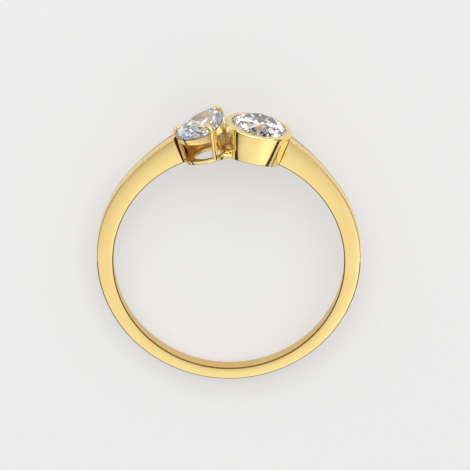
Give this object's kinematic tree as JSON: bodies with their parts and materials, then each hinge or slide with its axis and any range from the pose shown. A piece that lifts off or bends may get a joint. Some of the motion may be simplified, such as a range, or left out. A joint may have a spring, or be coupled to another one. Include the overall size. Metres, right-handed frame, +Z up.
{
  "type": "toi et moi ring",
  "caption": "Toi et moi ring in polished yellow gold, with a pear stone held in claws beside a round stone in a bezel, lying on its side.",
  "frame": {"origin": "middle of the bounding box's underside, on the surface that the ring lies on", "axes": "+Z up from that surface, nearly along the finger hole; +Y from the finger hole towards the stones; +X from the pear stone towards the round stone"},
  "size_m": [0.0196, 0.0212, 0.005],
  "materials": {
    "gold": "polished",
    "diamond": "polished"
  },
  "bodies": {
    "root": {"ring_mount": "gold", "round_stone": "diamond", "pear_stone": "diamond"}
  },
  "joints": []
}
